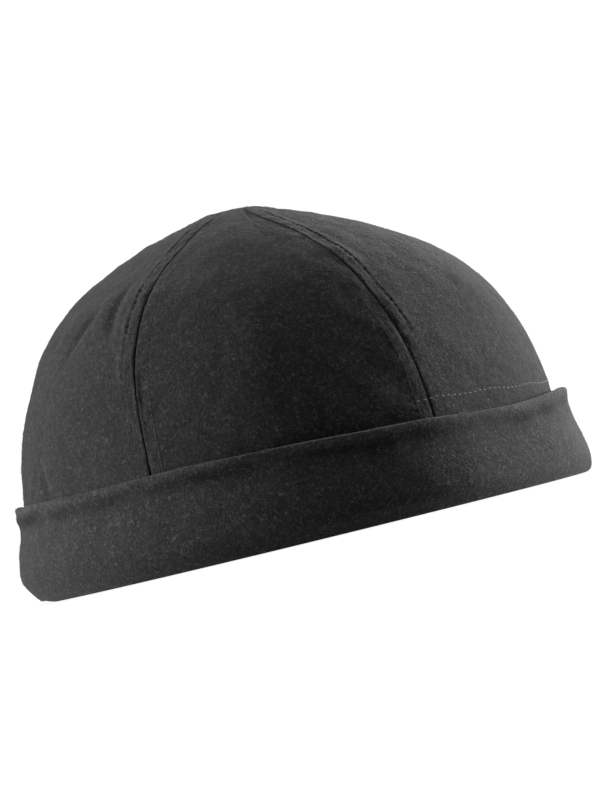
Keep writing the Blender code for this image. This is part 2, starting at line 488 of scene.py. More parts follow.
@dataclass
class Crown:
    """The six gores of the crown, as high detail cloth."""

    form: CrownForm = field(default_factory=CrownForm)
    sewing: Tailoring = field(default_factory=Tailoring)
    cloth: float = 0.0022
    hem_cloth: float = 0.0012
    seam_columns: int = 34
    middle_columns: int = 52
    rows: int = 256
    tip: float = 0.9990
    inner_step: int = 3
    inner_tone: float = 0.9
    # painted shade along each seam's groove, with a little of the darker pressed nap in it, and the
    # width it spreads over
    seam_painted_shade: float = 0.28
    seam_shade_width: float = 0.0008
    ridge_width: float = 0.018
    ridge_fade: Span = (0.45, 0.80)
    waves: Waves = Waves(((0.00018, 21, 0.034), (0.00007, 22, 0.011), (0.00003, 23, 0.0045)))
    inner_waves: Waves = Waves(((0.00010, 31, 0.012),))
    # turn in degrees and share of the way up of a fold's two ends, its width and its height
    folds: tuple = (
        # two long wrinkles of the back right gore, hollows with a ridge beside each
        (234.0, 0.647, 232.5, 0.524, 0.0017, -0.00130),
        (233.0, 0.542, 232.5, 0.465, 0.0017, -0.00100),
        (227.5, 0.625, 227.5, 0.483, 0.0030, 0.00070),
        (225.0, 0.567, 218.5, 0.488, 0.0019, -0.00130),
        (220.0, 0.504, 215.0, 0.431, 0.0021, -0.00095),
        (216.0, 0.586, 210.5, 0.477, 0.0032, 0.00065),
        # the felt sinks a little between the point and that wrinkle
        (205.0, 0.620, 240.0, 0.820, 0.0150, -0.00085),
        (205.5, 0.875, 216.5, 0.952, 0.0080, -0.00110),
        (220.5, 0.961, 236.5, 0.972, 0.0060, 0.00050),
        (193.0, 0.638, 201.5, 0.855, 0.0120, -0.00040),
        # the crease that runs down to the cuff
        (211.0, 0.400, 208.5, 0.200, 0.0024, -0.00045),
        (207.5, 0.215, 200.5, 0.130, 0.0016, -0.00095),
        (208.5, 0.215, 212.0, 0.120, 0.0016, -0.00095),
        (206.5, 0.190, 206.5, 0.120, 0.0026, 0.00040),
        # small pits near the top of that gore, and the pinch under the point
        (227.5, 0.735, 228.5, 0.715, 0.0014, -0.00040),
        (225.0, 0.650, 225.2, 0.640, 0.0014, -0.00045),
        (289.5, 0.850, 294.0, 0.925, 0.0011, -0.00060),
        # the soft upright ridge of the gore between the two near seams
        (268.5, 0.520, 268.0, 0.120, 0.0110, 0.00072),
        (325.0, 0.66, 318.0, 0.44, 0.0070, 0.00030),
        # a slight fullness of the front gore low down
        (350.0, 0.26, 352.0, 0.12, 0.0110, 0.00045),
        # folds of the far side, which the photograph doesn't show
        (35.0, 0.70, 38.0, 0.48, 0.0070, -0.00055),
        (96.0, 0.60, 90.0, 0.38, 0.0050, 0.00030),
        (150.0, 0.62, 142.0, 0.36, 0.0048, -0.00045),
    )
    left_seam: Seam = Seam(
        (
            (0.0, 242.2), (0.133, 241.9), (0.258, 241.6), (0.338, 240.9), (0.400, 240.7),
            (0.503, 242.5), (0.650, 246.6), (0.818, 253.6), (0.885, 258.5), (0.950, 265.0),
            (1.0, 268.0),
        ),
        row_before=1.0, row_after=0.12, ridge=0.0007,
    )
    right_seam: Seam = Seam(
        (
            (0.0, 300.2), (0.107, 300.1), (0.253, 299.6), (0.333, 298.7), (0.410, 297.3),
            (0.500, 296.7), (0.573, 296.2), (0.640, 296.9), (0.708, 297.6), (0.820, 296.0),
            (0.930, 296.0), (1.0, 297.0),
        ),
        row_before=0.12, row_after=1.0, ridge=0.0022,
    )
    outer_grids: list = field(default_factory=list)

    def seam(self, number: int) -> Seam:
        """Return a seam by number, counted from the front toward the wearer's left.

        Args:
            number: The seam, from 0 at the front.

        Returns:
            The seam.
        """
        far = (self.right_seam.mirrored(), self.left_seam.mirrored())
        ring = (Seam(((0.0, 0.0), (1.0, 0.0))), *far, Seam(((0.0, 180.0), (1.0, 180.0))),
                self.left_seam, self.right_seam)
        return ring[number % self.form.panels]

    def seam_at(self, number: int, ups: Array) -> Array:
        """Return the turn of a seam at each share of the way up, with its slight wobble.

        Args:
            number: The seam, from 0 at the front.
            ups: Shares of the way up.

        Returns:
            The turns in radians.
        """
        turn = self.seam(number).turn_at(ups) + 2 * np.pi * (number // self.form.panels)
        points = self.form.place(turn, ups)
        beside = self.form.place(turn + 0.01, ups)
        speed = np.maximum(np.linalg.norm(beside - points, axis=-1) / 0.01, 1e-4)
        ways = self.form.way_up(float(turn[0]) if turn.ndim else float(turn), ups)
        phase = 1.9 * (number % self.form.panels)
        sway = np.sin(ways / 0.0190 + phase) + 0.6 * np.sin(ways / 0.0074 + 2.3 * phase)
        calm = 1.0 - smooth_step(0.80, 0.97, ups)
        return turn + self.sewing.wobble * sway * calm / speed

    def _arcs(self, number: int, ups: Array, steps: int) -> tuple[Array, Array]:
        """Return turns across a panel at each level, and the ways along the cloth to them.

        Args:
            number: The panel, from 0.
            ups: Shares of the way up.
            steps: Number of turns at each level.

        Returns:
            The turns and the ways, levels by steps.
        """
        start, end = self.seam_at(number, ups), self.seam_at(number + 1, ups)
        turns = start[:, None] + (end - start)[:, None] * np.linspace(0.0, 1.0, steps)
        spans = np.linalg.norm(np.diff(self.form.place(turns, ups[:, None]), axis=1), axis=2)
        return turns, np.concatenate([np.zeros((len(ups), 1)), np.cumsum(spans, axis=1)], axis=1)

    def _columns(self, width: float) -> Array:
        """Return the distance of each column of points from a panel's first seam.

        Args:
            width: Width of the panel at one level.

        Returns:
            The distances.
        """
        zone = 1.35 * self.sewing.allowance * float(self.sewing.narrowing(width))
        first = np.linspace(0.0, 1.0, self.seam_columns) ** 1.25 * zone
        middle = np.linspace(zone, width - zone, self.middle_columns + 2)[1:-1]
        return np.concatenate([first, middle, width - first[::-1]])

    def panel_places(self, number: int) -> tuple[Array, Array, Array, Array]:
        """Return turn, share up, distance from the first seam and width over a panel's grid.

        Args:
            number: The panel, from 0.

        Returns:
            Four grids of rows by columns.
        """
        ups = np.linspace(0.0, self.tip, self.rows)
        turns, ways = self._arcs(number, ups, 81)
        columns = np.array([self._columns(way[-1]) for way in ways])
        placed = np.array([np.interp(c, w, t) for c, w, t in zip(columns, ways, turns)])
        widths = np.repeat(ways[:, -1:], columns.shape[1], axis=1)
        return placed, np.repeat(ups[:, None], columns.shape[1], axis=1), columns, widths

    def lift(self, number: int, turn: Array, up: Array, distance: Array, width: Array) -> Array:
        """Return how far the felt stands out of the plain form in a panel.

        Args:
            number: The panel, from 0.
            turn: Directions in radians.
            up: Shares of the way up.
            distance: Distances from the panel's first seam.
            width: Widths of the panel.

        Returns:
            The lift at each place.
        """
        points = self.form.place(turn, up)
        near = np.minimum(distance, width - distance)
        first = distance < width / 2
        seams = self.seam(number), self.seam(number + 1)
        ways = [self.form.way_up(float(seam.turn_at(self.form.usual_up)), up) for seam in seams]
        along = np.where(first, ways[0], ways[1])
        rows = [
            seam.row_strength(side, up)
            for seam, side in zip(seams, (SeamSide.AFTER, SeamSide.BEFORE))
        ]
        row = np.where(first, rows[0], rows[1])
        lift = self.sewing.relief(near, width, along, points, row, self.sewing.groove(up))
        low = 1.0 - smooth_step(*self.ridge_fade, up)
        for seam, away in zip(seams, (distance, width - distance)):
            lift = lift + seam.ridge * low * hump(away, 0.0, self.ridge_width)
        for fold in self.folds:
            lift = lift + Fold(*fold).lift(self.form, points)
        calm = self.sewing.narrowing(width) * smooth_step(0.0, 0.002, near)
        lift = lift + calm * self.waves.at(points)
        from_tip = np.linalg.norm((points - self.form.place(0.0, 1.0))[..., :2], axis=-1)
        return lift - self.sewing.dimple * hump(from_tip, 0.0, self.sewing.dimple_width)

    def panel(self, number: int, material: Material) -> Piece:
        """Build one gore as a closed piece of cloth.

        Args:
            number: The panel, from 0.
            material: Its finish.

        Returns:
            The panel's object.
        """
        turn, up, distance, width = self.panel_places(number)
        plain = self.form.place(turn, up)
        normal = self.form.outward(turn, up)
        outer = plain + normal * self.lift(number, turn, up, distance, width)[..., None]
        self.outer_grids.append(outer)
        skip = (slice(0, None, self.inner_step),) * 2
        near = np.minimum(distance, width - distance)
        room = self.sewing.narrowing(width)
        narrow, allowance = room[skip], self.sewing.allowance
        hem = 1.0 - smooth_step(0.9 * allowance, 1.1 * allowance, near[skip])
        depth = self.cloth * (0.35 + 0.65 * narrow) + self.hem_cloth * hem * narrow
        depth = depth + self.inner_waves.at(plain[skip])
        inner = plain[skip] - normal[skip] * depth[..., None]
        rows, columns = outer.shape[:2]
        few_rows, few_columns = inner.shape[:2]
        start = rows * columns
        faces = [grid_faces(rows, columns), grid_faces(few_rows, few_columns, start, True)]
        across, few_across = np.arange(columns), start + np.arange(few_columns)
        up_edge, few_up_edge = np.arange(rows) * columns, start + np.arange(few_rows) * few_columns
        last, few_last = (rows - 1) * columns, (few_rows - 1) * few_columns
        edges = (
            (across, few_across, True),
            (last + across, few_last + few_across, False),
            (up_edge, few_up_edge, False),
            (up_edge + columns - 1, few_up_edge + few_columns - 1, True),
        )
        for fine, coarse, turned in edges:
            strip = self._strip(fine, coarse)
            faces.append(strip[:, ::-1] if turned else strip)
        points = np.concatenate([outer.reshape(-1, 3), inner.reshape(-1, 3)])
        away = near / np.maximum(room, self.sewing.least)
        # painted shade darkens the felt's colour along the seams' grooves
        painted_shade = self.seam_painted_shade * self.sewing.groove(up) * hump(away, 0.0, self.seam_shade_width)
        inner_tones = np.full(few_rows * few_columns, self.inner_tone)
        tone = np.concatenate([(1.0 - painted_shade).ravel(), inner_tones])
        return add_mesh(f"crown_panel_{number + 1}_felt", points, faces, material, tone)

    def panel_width(self, number: int, ups: Array) -> Array:
        """Return a panel's width along the cloth at each share of the way up."""
        return self._arcs(number, ups, 31)[1][:, -1]

    def on_cloth(self, number: int, turns: Array, ups: Array) -> tuple[Array, Array]:
        """Return places on a sewn panel and its outward directions.

        Args:
            number: The panel, from 0.
            turns: Directions in radians.
            ups: Shares of the way up.

        Returns:
            The places and the directions.
        """
        arcs, ways = self._arcs(number, ups, 61)
        distance = np.array([np.interp(t, a, w) for t, a, w in zip(turns, arcs, ways)])
        lift = self.lift(number, turns, ups, distance, ways[:, -1])
        normals = self.form.outward(turns, ups)
        return self.form.place(turns, ups) + normals * lift[:, None], normals

    @staticmethod
    def _strip(fine: Array, coarse: Array) -> Array:
        """Return the triangles that join a fine edge to one with a third of its spans.

        Args:
            fine: Vertex numbers of the fine edge.
            coarse: Vertex numbers of the other edge.

        Returns:
            Three vertex numbers for each triangle.
        """
        triangles = []
        for index in range(len(coarse) - 1):
            first = 3 * index
            here, there = coarse[index], coarse[index + 1]
            triangles.append((fine[first], fine[first + 1], here))
            triangles.append((fine[first + 1], there, here))
            triangles.append((fine[first + 1], fine[first + 2], there))
            triangles.append((fine[first + 2], fine[first + 3], there))
        return np.array(triangles)


@dataclass
class Cuff:
    """The band round the rim, turned up and standing a little off the crown."""

    form: CrownForm = field(default_factory=CrownForm)
    leg_cloth: float = 0.0022
    cloth: float = 0.0030
    clearance: float = 0.0003
    spread: float = 0.0039
    swell: float = 0.00085
    join_gap: float = 0.0003
    lip_bead: float = 0.00078
    # place and width of the lip's roll and of the valley under it, below the lip
    roll: Span = (0.0011, 0.0021)
    valley: Span = (0.0056, 0.0022)
    # how much lower both lie at the back, where the roll is fat, and how much fatter it is
    roll_drop: float = 0.0031
    valley_drop: float = 0.0024
    back_roll: float = 0.5
    valley_share: float = 0.60
    end_settle: float = 0.0002
    heel_lift: float = 0.0010
    back_thinning: float = 0.0006
    stations: int = 540
    samples: int = 5
    lip_steps: int = 6
    waves: Waves = Waves(((0.000228, 41, 0.046), (0.00009, 42, 0.017), (0.00003, 43, 0.006)))
    # how far the cuff stands off more at a place, the place in degrees and its width
    corners: tuple = ((0.0030, 300.2, 12.0), (0.0007, 241.8, 11.2))
    # strength of the painted highlight on the lip's roll, a little of it worn felt, and of the
    # painted shade in the band under it, a little of it pressed nap, then the place and width of
    # each below the lip
    lip_painted_highlight: tuple = (0.34, 0.0014, 0.0014)
    painted_shade: tuple = (0.36, 0.0052, 0.0022)
    # how much lighter the front is painted, a painted light on the cuff's front
    front_painted_light: float = 0.12
    # degrees from the back, or from the front, between which each of these fades out
    roll_fade: Span = (16.0, 34.0)
    thin_fade: Span = (16.0, 50.0)
    heel_fade: Span = (14.0, 26.0)
    front_painted_light_fade: Span = (34.0, 62.0)
    # heights between which the cloth grows free to wave, and over which the heel is lifted
    free_from: Span = (0.004, 0.012)
    heel_height: float = 0.012
    # depth and width of the seam at the back, and height and width of the ridge that it lies in
    join_groove: Span = (0.0007, 0.0007)
    join_ridge: Span = (0.00022, 0.0045)
    # turn in degrees and height of the lip in metres, all round
    tops: tuple = (
        (0.0, 0.0325), (20.0, 0.0312), (42.0, 0.0298), (60.0, 0.0312), (90.0, 0.0332),
        (118.0, 0.0336), (150.0, 0.0350), (180.0, 0.0366), (194.0, 0.0354), (204.0, 0.0355),
        (216.0, 0.0347), (227.0, 0.0340), (240.0, 0.0342), (252.0, 0.0341), (264.0, 0.0332),
        (274.0, 0.0328), (284.0, 0.0317), (296.0, 0.0312), (307.0, 0.0296), (319.0, 0.0290),
        (333.0, 0.0304), (342.0, 0.0315), (360.0, 0.0325),
    )
    # height share of the cuff, then back, side and front way out as shares of the spread
    standing: tuple = (
        (0.16, 0.41, 0.80, 1.09),
        (0.28, 0.82, 0.95, 1.06),
        (0.46, 0.62, 0.72, 0.80),
        (0.57, 0.41, 0.50, 0.56),
        (0.68, 0.08, 0.22, 0.38),
        (0.79, 0.00, 0.12, 0.31),
        (0.91, 0.00, 0.14, 0.33),
    )
    # height share of the cuff, then way out as shares of cloth and spread together
    turned: tuple = (
        (0.000, -0.20, -0.08, 0.10),
        (0.000, 0.06, 0.36, 0.70),
        (0.020, 0.18, 0.52, 0.90),
        (0.065, 0.36, 0.72, 1.04),
    )
    # height share of the join, then way out in cloths
    leg: tuple = (
        (0.60, -1.08, -1.04, -1.00),
        (0.29, -1.36, -1.14, -0.98),
        (0.09, -1.12, -0.86, -0.45),
    )
    # height in cloths and way out as a share of the belly
    hollow: tuple = ((2.10, 0.76), (1.55, 0.48), (1.75, 0.16))
    skin: Array = None

    def lip_height(self, turns: Array) -> Array:
        """Return the height of the lip in each direction, rounded between the table's places.

        Args:
            turns: Directions in radians.

        Returns:
            The heights.
        """
        places = np.radians([place for place, _ in self.tops])
        heights = np.array([height for _, height in self.tops])
        fine = np.linspace(0.0, 2 * np.pi, 720, endpoint=False)
        soft = softened(np.interp(fine, places, heights), 18, "wrap")
        return np.interp(np.mod(turns, 2 * np.pi), fine, soft, period=2 * np.pi)

    def _standing_off(self, turns: Array) -> Array:
        """Return how much farther the cuff stands out, most beside the crown's seams.

        Args:
            turns: Directions in radians.

        Returns:
            The added distance in each direction.
        """
        degrees = np.degrees(turns)
        mirrored = np.where(degrees > 180.0, degrees, 360.0 - degrees)
        corners = sum(out * hump(mirrored, place, width) for out, place, width in self.corners)
        back = 1.0 - smooth_step(202.0, 224.0, mirrored)
        front = smooth_step(318.0, 336.0, mirrored)
        return corners - self.end_settle * (front + back)

    @staticmethod
    def _blend(row: tuple, turns: Array) -> Array:
        """Return a row's back, side and front shares mixed for each direction.

        Args:
            row: The back, side and front shares.
            turns: Directions in radians.

        Returns:
            One share for each direction.
        """
        back, side, front = row
        toward = np.cos(turns) ** 2
        end = np.where(np.cos(turns) > 0, front, back)
        return side + (end - side) * toward

    def _sections(self, turns: Array) -> tuple[Array, Array]:
        """Return way out and height of the section's guide points in each direction.

        Args:
            turns: Directions in radians.

        Returns:
            Two grids of directions by guide points.
        """
        top = self.lip_height(turns)
        bulge = self.swell * (0.17 + 0.83 * np.abs(np.sin(turns * self.form.panels / 2)))
        clear = self.clearance + bulge + self._standing_off(turns)
        base = self.form.join_height - self.join_gap
        guides = [(-self.leg_cloth, base)]
        for rows, wide, high in (
            (self.leg, self.leg_cloth, self.form.join_height),
            (self.turned, self.cloth + self.spread, top),
        ):
            guides += [(self._blend(row, turns) * wide, share * high) for share, *row in rows]
        faces = [
            (clear + self._blend(row, turns) * self.spread, share * top)
            for share, *row in self.standing
        ]
        thin = self.back_thinning * (1.0 - smooth_step(*self.thin_fade, from_back(turns)))
        guides += [(out + self.cloth - thin, level) for out, level in faces]
        radius = self.cloth / 2
        for step in range(1, self.lip_steps):
            angle = math.pi * step / self.lip_steps
            guides.append((faces[-1][0] + radius + radius * math.cos(angle),
                           top - radius + radius * math.sin(angle)))
        guides += reversed(faces[1:])
        guides += [(faces[1][0] * share, level * self.leg_cloth) for level, share in self.hollow]
        guides += [(0.0, base * 0.55), (0.0, base)]
        outs, heights = (
            np.stack([part + 0 * turns for part in parts], axis=1) for parts in zip(*guides)
        )
        return outs, heights

    def _rounded(self, values: Array) -> Array:
        """Return a smooth closed curve through guide values, more samples for each span.

        Args:
            values: Directions by guide values.

        Returns:
            Directions by samples.
        """
        before, after = np.roll(values, 1, axis=1), np.roll(values, -1, axis=1)
        beyond = np.roll(values, -2, axis=1)
        spans = []
        for step in range(self.samples):
            t = step / self.samples
            spans.append(
                values
                + 0.5 * t * (after - before)
                + t * t * (before - 2.5 * values + 2 * after - 0.5 * beyond)
                + t * t * t * (1.5 * (values - after) + 0.5 * (beyond - before))
            )
        return np.stack(spans, axis=2).reshape(len(values), -1)

    def build(self, material: Material) -> Piece:
        """Build the cuff as one closed ring of cloth.

        Args:
            material: Its finish.

        Returns:
            The cuff's object.
        """
        turns = np.linspace(0.0, 2 * np.pi, self.stations, endpoint=False)
        outs, heights = self._sections(turns)
        outs, heights = self._rounded(outs), np.maximum(self._rounded(heights), 0.0)
        levels = np.maximum(heights, self.form.join_height)
        ups = self.form.up_at_height(levels)
        wall = self.form.place(turns[:, None], ups)
        beside = self.form.place(turns + 0.01, 0 * turns) - self.form.place(turns - 0.01, 0 * turns)
        outward = unit(np.stack([beside[:, 1], -beside[:, 0], 0 * turns], axis=1))
        points = wall + outward[:, None, :] * outs[..., None]
        points[..., 2] = heights
        points = points + self._unevenness(points, outward, heights, turns)
        heel = self.heel_lift * (1.0 - smooth_step(*self.heel_fade, from_back(turns)))
        low = 1.0 - smooth_step(0.0, self.heel_height, heights)
        points[..., 2] = np.maximum(points[..., 2], 0.0) + heel[:, None] * low
        skin_last = (1 + len(self.leg) + len(self.turned) + len(self.standing) + 3) * self.samples
        self.skin = points[:, 3 * self.samples:skin_last]
        stations, around = points.shape[:2]
        ring, ring_after = np.arange(around), np.roll(np.arange(around), -1)
        station = np.arange(stations)[:, None] * around
        after = np.roll(np.arange(stations), -1)[:, None] * around
        corners = [station + ring, station + ring_after, after + ring_after, after + ring]
        quads = np.stack(corners, axis=-1).reshape(-1, 4)
        below = self.lip_height(turns)[:, None] - heights
        slow = SoftNoise(45, 0.020).at(points)
        # painted highlight along the lip's roll and painted shade in the band under it, laid into
        # the felt's colour
        lip_painted_highlight, painted_shade = (
            strength * hump(below, place, width) * (1.0 + uneven * slow)
            for (strength, place, width), uneven in ((self.lip_painted_highlight, 0.4), (self.painted_shade, 0.6))
        )
        # painted light over the cuff's front, fading toward the sides
        from_front = 180.0 - from_back(turns)
        front_painted_light = self.front_painted_light * (1.0 - smooth_step(*self.front_painted_light_fade, from_front))
        tone = 1.0 + lip_painted_highlight - painted_shade + front_painted_light[:, None]
        return add_mesh("cuff_felt", points.reshape(-1, 3), [quads[:, ::-1]], material, tone)

    def _unevenness(self, points: Array, outward: Array, heights: Array, turns: Array) -> Array:
        """Return the soft waves, the rolled lip and the join at the back, as moves of each point.

        Args:
            points: Places on the cuff, directions by samples.
            outward: Outward way of each direction.
            heights: Height of each place.
            turns: Directions in radians.

        Returns:
            How each place moves.
        """
        standing = smooth_step(*self.free_from, heights)
        below = self.lip_height(turns)[:, None] - heights
        fat = 1.0 - smooth_step(*self.roll_fade, from_back(turns))[:, None]
        roll = hump(below, self.roll[0] + self.roll_drop * fat, self.roll[1])
        valley = hump(below, self.valley[0] + self.valley_drop * fat, self.valley[1])
        rolled = 0.75 + 0.30 * SoftNoise(44, 0.030).at(points)
        roll = (1.0 + self.back_roll * fat) * roll
        bead = self.lip_bead * rolled * (roll - self.valley_share * valley)
        middle = points.mean(axis=1, keepdims=True)
        outside = ((points - middle) * outward[:, None, :]).sum(axis=-1) > 0
        join = np.abs(turns - np.pi)[:, None] * self.form.length / 2
        (depth, groove_width), (rise, ridge_width) = self.join_groove, self.join_ridge
        seam = rise * np.exp(-((join / ridge_width) ** 4)) - depth * hump(join, 0.0, groove_width)
        skin_only = np.where(outside, bead + seam * standing, 0.0)
        return outward[:, None, :] * (self.waves.at(points) * standing + skin_only)[..., None]


@dataclass(frozen=True)
class Thread:
    """One kind of sewing thread, as it lies on the cloth."""

    thickness: float
    pitch: float
    filled: float
    arch: float
    flatness: float = 0.8
    sides: int = 6
    rings: int = 6

    def stitches(self, places: Array, ways: Array, normals: Array) -> tuple[Array, Array]:
        """Return points and quads of stitches laid at the given places.

        Args:
            places: Middle of each stitch, on the cloth.
            ways: Direction along the row at each stitch.
            normals: Outward direction of the cloth at each stitch.

        Returns:
            The points and the faces.
        """
        shares = np.linspace(-0.5, 0.5, self.rings)
        across = unit(np.cross(normals, ways))
        length = self.pitch * self.filled
        bend = self.arch * (1 - (2 * shares) ** 2) - self.arch * 0.8
        girths = self.thickness / 2 * np.sqrt(np.clip(1 - (1.86 * shares) ** 4, 0.02, 1.0))
        middles = (
            places[:, None, :]
            + ways[:, None, :] * (shares * length)[None, :, None]
            + normals[:, None, :] * bend[None, :, None]
        )
        points = tube_points(middles, across, normals * self.flatness, girths, self.sides)
        return points.reshape(-1, 3), tube_faces(len(places), self.rings, self.sides)


@dataclass
class Stitching:
    """The rows of stitches of the crown."""

    crown: Crown
    seam_thread: Thread = Thread(0.00034, 0.0025, 0.80, 0.00010)
    hem_thread: Thread = Thread(0.00038, 0.0025, 0.56, 0.00014)
    hem_start: float = 296.0
    hem_end: float = 424.0
    hem_height: float = 0.0352
    hem_rise: float = 0.0019
    # height of each slow or quick wobble of the hem's row, and its pace
    hem_wobble: tuple = ((0.0003, 23.0), (0.0001, 91.0))
    above_cloth: float = 0.00004

    def seam_rows(self, number: int, material: Material) -> Piece:
        """Build the two rows of topstitching beside one seam.

        Args:
            number: The seam, from 0 at the front.
            material: The thread's finish.

        Returns:
            The stitches' object.
        """
        crown, form, sewing = self.crown, self.crown.form, self.crown.sewing
        fine = np.linspace(0.0, 0.985, 500)
        length = form.way_up(float(crown.seam(number).turn_at(form.usual_up)), fine)
        middles = np.arange(2, int(length[-1] / sewing.stitch)) * sewing.stitch
        ups = np.interp(middles, length, fine)
        points, faces = [], []
        for side in SeamSide:
            panel = (number if side is SeamSide.AFTER else number - 1) % form.panels
            turns = crown.seam_at(panel if side is SeamSide.AFTER else panel + 1, ups)
            here = form.place(turns, ups)
            speed = np.linalg.norm(form.place(turns + 0.01, ups) - here, axis=-1) / 0.01
            room = crown.panel_width(panel, ups)
            turns = turns + side.value * sewing.row_offset * sewing.narrowing(room) / speed
            places, normals = crown.on_cloth(panel, turns, ups)
            ways = unit(np.gradient(places, axis=0))
            places = places + normals * self.above_cloth
            placed, quads = self.seam_thread.stitches(places, ways, normals)
            faces.append(quads + sum(len(group) for group in points))
            points.append(placed)
        name = f"seam_{number + 1}_topstitching"
        return add_mesh(name, np.concatenate(points), faces, material)

    def hem_row(self, material: Material) -> Piece:
        """Build the light row of stitches that shows above the cuff at the front.

        Args:
            material: The thread's finish.

        Returns:
            The stitches' object.
        """
        form = self.crown.form
        fine = np.radians(np.linspace(self.hem_start, self.hem_end, 900))
        beside = np.abs(np.degrees(fine) - 360.0)
        heights = self.hem_height + self.hem_rise * smooth_step(24.0, 62.0, beside)
        heights = heights + sum(size * np.sin(fine * pace) for size, pace in self.hem_wobble)
        ups = form.up_at_height(heights)
        ways = cloth_ways(form.place(fine, ups))
        middles = np.arange(1, int(ways[-1] / self.hem_thread.pitch)) * self.hem_thread.pitch
        turns, placed_ups = np.interp(middles, ways, fine), np.interp(middles, ways, ups)
        last = form.panels - 1
        sides = []
        for panel in (last - 1, last, last + 1, last + 2):
            before, after = (self.crown.seam_at(seam, placed_ups) for seam in (panel, panel + 1))
            here = (turns >= before) & (turns < after)
            around = 2 * np.pi * (panel // form.panels)
            number = panel % form.panels
            sides.append(self.crown.on_cloth(number, turns[here] - around, placed_ups[here]))
        places, normals = (np.concatenate(parts) for parts in zip(*sides))
        directions = unit(np.gradient(places, axis=0))
        points, quads = self.hem_thread.stitches(places, directions, normals)
        return add_mesh("hem_stitching", points, [quads], material)


@dataclass(frozen=True)
class LooseFibres:
    """Short wool fibres that stand off the felt."""

    count: int
    seed: int
    shortest: float = 0.0005
    longest: float = 0.0022
    thickness: float = 0.000058
    lowest: float = 0.0002
    # a place inside the cap, from which all fibres point away
    inside: tuple = (0.0, 0.0, 0.03)
    rings: int = 5
    sides: int = 3

    def scatter(self, name: str, grids: list, material: Material) -> Piece:
        """Build the fibres over grids of points.

        Args:
            name: Name of the piece.
            grids: Grids of points on the felt, each rows by columns by three.
            material: The fibres' finish.

        Returns:
            The fibres' object.
        """
        source = np.random.default_rng(self.seed)
        corners = [
            np.stack([g[:-1, :-1], g[:-1, 1:], g[1:, 1:], g[1:, :-1]], axis=2).reshape(-1, 4, 3)
            for g in grids
        ]
        quads = np.concatenate(corners)
        cross = np.cross(quads[:, 2] - quads[:, 0], quads[:, 3] - quads[:, 1])
        area = np.linalg.norm(cross, axis=1)
        picked = source.choice(len(quads), self.count, p=area / area.sum())
        a, b = source.uniform(size=(2, self.count, 1))
        chosen = quads[picked]
        root = (1 - a) * (1 - b) * chosen[:, 0] + a * (1 - b) * chosen[:, 1]
        root = root + a * b * chosen[:, 2] + (1 - a) * b * chosen[:, 3]
        normal = unit(cross[picked])
        inward = (normal * (root - self.inside)).sum(1, keepdims=True) < 0
        normal = np.where(inward, -normal, normal)
        lie = unit(np.cross(normal, source.normal(size=(self.count, 3))))
        across = np.cross(normal, lie)
        length = source.uniform(self.shortest, self.longest, (self.count, 1, 1))
        lift = np.abs(source.normal(0.10, 0.22, (self.count, 1, 1)))
        curl = source.normal(0.0, 0.45, (self.count, 1, 1))
        share = np.linspace(0.0, 1.0, self.rings)[:, None]
        paths = root[:, None, :] + length * (
            lie[:, None, :] * share
            + normal[:, None, :] * (lift * share - 0.25 * lift * share * share + 0.03)
            + across[:, None, :] * curl * np.sin(share * 2.4)
        )
        girths = self.thickness / 2 * (1.0 - 0.55 * share[:, 0])
        points = tube_points(paths, across, normal, girths, self.sides)
        points = points[points[..., 2].min(axis=(1, 2)) > self.lowest]
        faces = tube_faces(len(points), self.rings, self.sides)
        return add_mesh(name, points.reshape(-1, 3), [faces], material)


def fill(tree: Tree, node: bpy.types.Node, values: dict) -> None:
    """Set or link inputs of a node.

    Args:
        tree: Where the node is.
        node: The node.
        values: A value, or a socket to link, for each named or numbered input.
    """
    for label, value in values.items():
        if isinstance(value, Socket):
            tree.links.new(value, node.inputs[label])
        else:
            node.inputs[label].default_value = value


def add_node(tree: Tree, kind: str, values: dict, output: int | str,
             **settings: object) -> Socket:
    """Add a shader node and return one of its outputs.

    Args:
        tree: Where the node goes.
        kind: Its type, without the words that all shader nodes begin with.
        values: A value, or a socket to link, for each named or numbered input.
        output: Name or number of the output that is returned.
        **settings: The node's own settings.

    Returns:
        The output.
    """
    node = tree.nodes.new("ShaderNode" + kind)
    for label, setting in settings.items():
        setattr(node, label, setting)
    fill(tree, node, values)
    return node.outputs[output]


def maths(tree: Tree, operation: str, *values: object) -> Socket:
    """Add a maths node over numbers and sockets, and return its output."""
    return add_node(tree, "Math", dict(enumerate(values)), 0, operation=operation)


def noise(tree: Tree, place: Socket, scale: object, detail: float,
          distortion: float = 0.0) -> Socket:
    """Add a noise texture.

    Args:
        tree: Where the node goes.
        place: Coordinates that it is read at.
        scale: Its scale, a number or a socket.
        detail: Its octaves.
        distortion: How much it is bent.

    Returns:
        The node's grey output.
    """
    values = {"Vector": place, "Scale": scale, "Detail": detail, "Roughness": 0.6,
              "Distortion": distortion}
    return add_node(tree, "TexNoise", values, "Fac")


def map_range(tree: Tree, value: Socket, limits: tuple,
              results: tuple = (0.0, 1.0)) -> Socket:
    """Add a node that maps one range of values to another.

    Args:
        tree: Where the node goes.
        value: What is mapped.
        limits: The two ends of its range, numbers or sockets.
        results: The results at the two ends.

    Returns:
        The mapped value.
    """
    labels = ("From Min", "From Max", "To Min", "To Max")
    values = {"Value": value, **dict(zip(labels, (*limits, *results)))}
    return add_node(tree, "MapRange", values, "Result")


def mix(tree: Tree, share: object, first: object, second: object,
        blend: str = "MIX") -> Socket:
    """Add a node that mixes two colours.

    Args:
        tree: Where the node goes.
        share: How much of the second is taken, a number or a socket.
        first: Red, green, blue and alpha, or a socket.
        second: The same for the other colour.
        blend: How the second is laid on the first.

    Returns:
        The mixed colour.
    """
    values = {"Factor": share, "A": first, "B": second}
    return add_node(tree, "Mix", values, "Result", data_type="RGBA", blend_type=blend)


